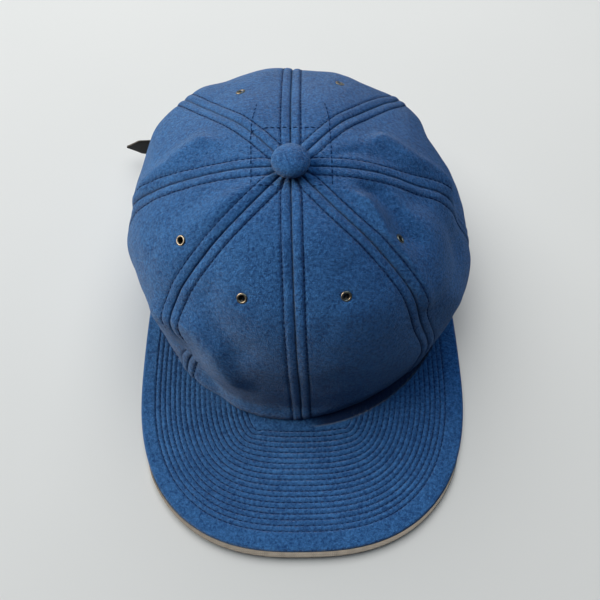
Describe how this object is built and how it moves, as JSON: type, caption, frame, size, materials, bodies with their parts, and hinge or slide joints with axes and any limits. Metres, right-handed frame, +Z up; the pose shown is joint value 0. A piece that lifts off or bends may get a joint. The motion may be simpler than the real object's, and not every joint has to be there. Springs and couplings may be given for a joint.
{
  "type": "wool cap",
  "caption": "Soft wool cap with sewn crown panels, covered button, metal eyelets, flat stitched brim and a leather strap and buckle across the opening at the back.",
  "frame": {"origin": "middle of the cap's footprint, on the surface that it lies on", "axes": "+Z up, the brim points along -Y, and +X is the right side with the brim towards the viewer"},
  "size_m": [0.2108, 0.277, 0.1211],
  "materials": {
    "wool": "soft brushed wool",
    "under_cloth": "plain grey cloth",
    "leather": "smooth black",
    "eyelet_metal": "aged dark metal",
    "buckle_metal": "aged dark metal"
  },
  "bodies": {
    "root": {"panel_front_left": "wool", "panel_front_right": "wool", "panel_side_front_left": "wool", "panel_side_front_right": "wool", "panel_side_back_left": "wool", "panel_side_back_right": "wool", "panel_back_left": "wool", "panel_back_right": "wool", "button": "wool", "eyelet_front_left": "eyelet_metal", "eyelet_front_right": "eyelet_metal", "eyelet_side_left": "eyelet_metal", "eyelet_side_right": "eyelet_metal", "eyelet_back_left": "eyelet_metal", "eyelet_back_right": "eyelet_metal", "brim_top": "wool", "brim_underside": "under_cloth", "strap": "leather", "strap_tab": "leather", "buckle": "buckle_metal"}
  },
  "joints": []
}
